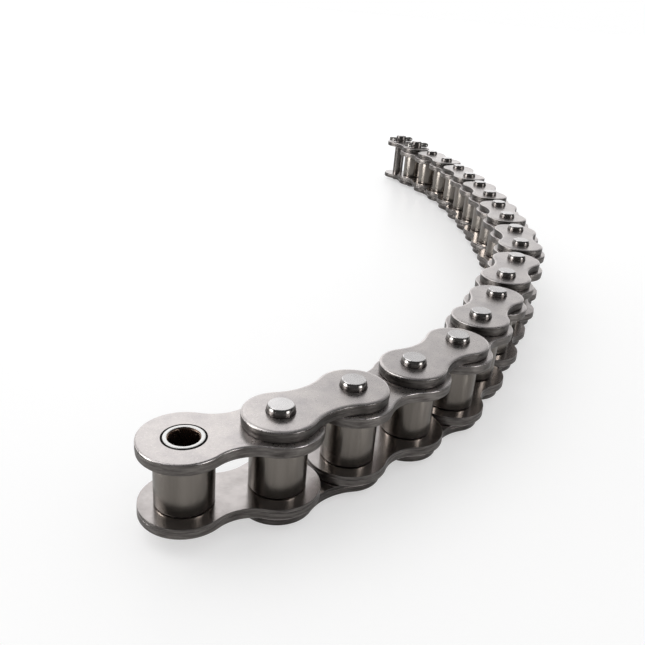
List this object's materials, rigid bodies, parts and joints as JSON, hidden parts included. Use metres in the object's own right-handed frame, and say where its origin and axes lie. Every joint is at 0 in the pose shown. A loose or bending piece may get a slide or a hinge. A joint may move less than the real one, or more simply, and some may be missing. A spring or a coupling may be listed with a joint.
{
  "type": "roller chain",
  "caption": "Single-strand roller chain laid on its side in a curve, with riveted outer links, an open inner link at one end and a cottered connecting link at the other.",
  "frame": {"origin": "centre of the open bush of the first inner link, on the chain's middle plane, halfway between its plates", "axes": "+Z along the bushes and pins, towards the cotter side of the connecting link; +X along the first inner link, from its open bush towards the rest of the chain"},
  "size_m": [0.2882, 0.4017, 0.036],
  "materials": {
    "plate_steel": "satin",
    "bush_steel": "ground",
    "roller_steel": "satin",
    "pin_steel": "ground"
  },
  "bodies": {
    "inner_link_01": {"inner_plates_01": "plate_steel", "bushes_01": "bush_steel"},
    "inner_link_02": {"inner_plates_02": "plate_steel", "bushes_02": "bush_steel"},
    "inner_link_03": {"inner_plates_03": "plate_steel", "bushes_03": "bush_steel"},
    "inner_link_04": {"inner_plates_04": "plate_steel", "bushes_04": "bush_steel"},
    "inner_link_05": {"inner_plates_05": "plate_steel", "bushes_05": "bush_steel"},
    "inner_link_06": {"inner_plates_06": "plate_steel", "bushes_06": "bush_steel"},
    "inner_link_07": {"inner_plates_07": "plate_steel", "bushes_07": "bush_steel"},
    "inner_link_08": {"inner_plates_08": "plate_steel", "bushes_08": "bush_steel"},
    "inner_link_09": {"inner_plates_09": "plate_steel", "bushes_09": "bush_steel"},
    "inner_link_10": {"inner_plates_10": "plate_steel", "bushes_10": "bush_steel"},
    "outer_link_01": {"outer_plates_01": "plate_steel", "pins_01": "pin_steel"},
    "outer_link_02": {"outer_plates_02": "plate_steel", "pins_02": "pin_steel"},
    "outer_link_03": {"outer_plates_03": "plate_steel", "pins_03": "pin_steel"},
    "outer_link_04": {"outer_plates_04": "plate_steel", "pins_04": "pin_steel"},
    "outer_link_05": {"outer_plates_05": "plate_steel", "pins_05": "pin_steel"},
    "outer_link_06": {"outer_plates_06": "plate_steel", "pins_06": "pin_steel"},
    "outer_link_07": {"outer_plates_07": "plate_steel", "pins_07": "pin_steel"},
    "outer_link_08": {"outer_plates_08": "plate_steel", "pins_08": "pin_steel"},
    "outer_link_09": {"outer_plates_09": "plate_steel", "pins_09": "pin_steel"},
    "connecting_link": {"connecting_plates": "plate_steel", "connecting_pins": "pin_steel"},
    "roller_01": {"roller_01": "roller_steel"},
    "roller_02": {"roller_02": "roller_steel"},
    "roller_03": {"roller_03": "roller_steel"},
    "roller_04": {"roller_04": "roller_steel"},
    "roller_05": {"roller_05": "roller_steel"},
    "roller_06": {"roller_06": "roller_steel"},
    "roller_07": {"roller_07": "roller_steel"},
    "roller_08": {"roller_08": "roller_steel"},
    "roller_09": {"roller_09": "roller_steel"},
    "roller_10": {"roller_10": "roller_steel"},
    "roller_11": {"roller_11": "roller_steel"},
    "roller_12": {"roller_12": "roller_steel"},
    "roller_13": {"roller_13": "roller_steel"},
    "roller_14": {"roller_14": "roller_steel"},
    "roller_15": {"roller_15": "roller_steel"},
    "roller_16": {"roller_16": "roller_steel"},
    "roller_17": {"roller_17": "roller_steel"},
    "roller_18": {"roller_18": "roller_steel"},
    "roller_19": {"roller_19": "roller_steel"},
    "roller_20": {"roller_20": "roller_steel"}
  },
  "joints": [
    {"name": "pin_hinge_01", "type": "hinge", "parent": "inner_link_01", "child": "outer_link_01", "pos_m": [0.0254, 0, 0], "axis": [0, 0, 1], "range_deg": [-117, 83]},
    {"name": "pin_hinge_02", "type": "hinge", "parent": "outer_link_01", "child": "inner_link_02", "pos_m": [0.04969, 0.00743, 0], "axis": [0, 0, -1], "range_deg": [-98, 102]},
    {"name": "pin_hinge_03", "type": "hinge", "parent": "inner_link_02", "child": "outer_link_02", "pos_m": [0.07371, 0.0157, 0], "axis": [0, 0, 1], "range_deg": [-107, 93]},
    {"name": "pin_hinge_04", "type": "hinge", "parent": "outer_link_02", "child": "inner_link_03", "pos_m": [0.09654, 0.02683, 0], "axis": [0, 0, -1], "range_deg": [-87, 113]},
    {"name": "pin_hinge_05", "type": "hinge", "parent": "inner_link_03", "child": "outer_link_03", "pos_m": [0.11628, 0.04281, 0], "axis": [0, 0, 1], "range_deg": [-103, 97]},
    {"name": "pin_hinge_06", "type": "hinge", "parent": "outer_link_03", "child": "inner_link_04", "pos_m": [0.13515, 0.05981, 0], "axis": [0, 0, -1], "range_deg": [-96, 104]},
    {"name": "pin_hinge_07", "type": "hinge", "parent": "inner_link_04", "child": "outer_link_04", "pos_m": [0.15279, 0.07808, 0], "axis": [0, 0, 1], "range_deg": [-98, 102]},
    {"name": "pin_hinge_08", "type": "hinge", "parent": "outer_link_04", "child": "inner_link_05", "pos_m": [0.17107, 0.09573, 0], "axis": [0, 0, -1], "range_deg": [-95, 105]},
    {"name": "pin_hinge_09", "type": "hinge", "parent": "inner_link_05", "child": "outer_link_05", "pos_m": [0.18773, 0.1149, 0], "axis": [0, 0, 1], "range_deg": [-110, 90]},
    {"name": "pin_hinge_10", "type": "hinge", "parent": "outer_link_05", "child": "inner_link_06", "pos_m": [0.20081, 0.13667, 0], "axis": [0, 0, -1], "range_deg": [-95, 105]},
    {"name": "pin_hinge_11", "type": "hinge", "parent": "inner_link_06", "child": "outer_link_06", "pos_m": [0.21195, 0.1595, 0], "axis": [0, 0, 1], "range_deg": [-101, 99]},
    {"name": "pin_hinge_12", "type": "hinge", "parent": "outer_link_06", "child": "inner_link_07", "pos_m": [0.22268, 0.18252, 0], "axis": [0, 0, -1], "range_deg": [-98, 102]},
    {"name": "pin_hinge_13", "type": "hinge", "parent": "inner_link_07", "child": "outer_link_07", "pos_m": [0.23261, 0.2059, 0], "axis": [0, 0, 1], "range_deg": [-103, 97]},
    {"name": "pin_hinge_14", "type": "hinge", "parent": "outer_link_07", "child": "inner_link_08", "pos_m": [0.24129, 0.22977, 0], "axis": [0, 0, -1], "range_deg": [-98, 102]},
    {"name": "pin_hinge_15", "type": "hinge", "parent": "inner_link_08", "child": "outer_link_08", "pos_m": [0.24914, 0.25392, 0], "axis": [0, 0, 1], "range_deg": [-102, 98]},
    {"name": "pin_hinge_16", "type": "hinge", "parent": "outer_link_08", "child": "inner_link_09", "pos_m": [0.25614, 0.27834, 0], "axis": [0, 0, -1], "range_deg": [-96, 104]},
    {"name": "pin_hinge_17", "type": "hinge", "parent": "inner_link_09", "child": "outer_link_09", "pos_m": [0.26143, 0.30318, 0], "axis": [0, 0, 1], "range_deg": [-107, 93]},
    {"name": "pin_hinge_18", "type": "hinge", "parent": "outer_link_09", "child": "inner_link_10", "pos_m": [0.26364, 0.32849, 0], "axis": [0, 0, -1], "range_deg": [-96, 104]},
    {"name": "pin_hinge_19", "type": "hinge", "parent": "inner_link_10", "child": "connecting_link", "pos_m": [0.26408, 0.35388, 0], "axis": [0, 0, 1], "range_deg": [-102, 98]},
    {"name": "roller_spin_01", "type": "hinge", "parent": "inner_link_01", "child": "roller_01", "pos_m": [0, 0, 0], "axis": [0, 0, 1], "continuous": true},
    {"name": "roller_spin_02", "type": "hinge", "parent": "inner_link_01", "child": "roller_02", "pos_m": [0.0254, 0, 0], "axis": [0, 0, 1], "continuous": true},
    {"name": "roller_spin_03", "type": "hinge", "parent": "inner_link_02", "child": "roller_03", "pos_m": [0.04969, 0.00743, 0], "axis": [0, 0, 1], "continuous": true},
    {"name": "roller_spin_04", "type": "hinge", "parent": "inner_link_02", "child": "roller_04", "pos_m": [0.07371, 0.0157, 0], "axis": [0, 0, 1], "continuous": true},
    {"name": "roller_spin_05", "type": "hinge", "parent": "inner_link_03", "child": "roller_05", "pos_m": [0.09654, 0.02683, 0], "axis": [0, 0, 1], "continuous": true},
    {"name": "roller_spin_06", "type": "hinge", "parent": "inner_link_03", "child": "roller_06", "pos_m": [0.11628, 0.04281, 0], "axis": [0, 0, 1], "continuous": true},
    {"name": "roller_spin_07", "type": "hinge", "parent": "inner_link_04", "child": "roller_07", "pos_m": [0.13515, 0.05981, 0], "axis": [0, 0, 1], "continuous": true},
    {"name": "roller_spin_08", "type": "hinge", "parent": "inner_link_04", "child": "roller_08", "pos_m": [0.15279, 0.07808, 0], "axis": [0, 0, 1], "continuous": true},
    {"name": "roller_spin_09", "type": "hinge", "parent": "inner_link_05", "child": "roller_09", "pos_m": [0.17107, 0.09573, 0], "axis": [0, 0, 1], "continuous": true},
    {"name": "roller_spin_10", "type": "hinge", "parent": "inner_link_05", "child": "roller_10", "pos_m": [0.18773, 0.1149, 0], "axis": [0, 0, 1], "continuous": true},
    {"name": "roller_spin_11", "type": "hinge", "parent": "inner_link_06", "child": "roller_11", "pos_m": [0.20081, 0.13667, 0], "axis": [0, 0, 1], "continuous": true},
    {"name": "roller_spin_12", "type": "hinge", "parent": "inner_link_06", "child": "roller_12", "pos_m": [0.21195, 0.1595, 0], "axis": [0, 0, 1], "continuous": true},
    {"name": "roller_spin_13", "type": "hinge", "parent": "inner_link_07", "child": "roller_13", "pos_m": [0.22268, 0.18252, 0], "axis": [0, 0, 1], "continuous": true},
    {"name": "roller_spin_14", "type": "hinge", "parent": "inner_link_07", "child": "roller_14", "pos_m": [0.23261, 0.2059, 0], "axis": [0, 0, 1], "continuous": true},
    {"name": "roller_spin_15", "type": "hinge", "parent": "inner_link_08", "child": "roller_15", "pos_m": [0.24129, 0.22977, 0], "axis": [0, 0, 1], "continuous": true},
    {"name": "roller_spin_16", "type": "hinge", "parent": "inner_link_08", "child": "roller_16", "pos_m": [0.24914, 0.25392, 0], "axis": [0, 0, 1], "continuous": true},
    {"name": "roller_spin_17", "type": "hinge", "parent": "inner_link_09", "child": "roller_17", "pos_m": [0.25614, 0.27834, 0], "axis": [0, 0, 1], "continuous": true},
    {"name": "roller_spin_18", "type": "hinge", "parent": "inner_link_09", "child": "roller_18", "pos_m": [0.26143, 0.30318, 0], "axis": [0, 0, 1], "continuous": true},
    {"name": "roller_spin_19", "type": "hinge", "parent": "inner_link_10", "child": "roller_19", "pos_m": [0.26364, 0.32849, 0], "axis": [0, 0, 1], "continuous": true},
    {"name": "roller_spin_20", "type": "hinge", "parent": "inner_link_10", "child": "roller_20", "pos_m": [0.26408, 0.35388, 0], "axis": [0, 0, 1], "continuous": true}
  ]
}
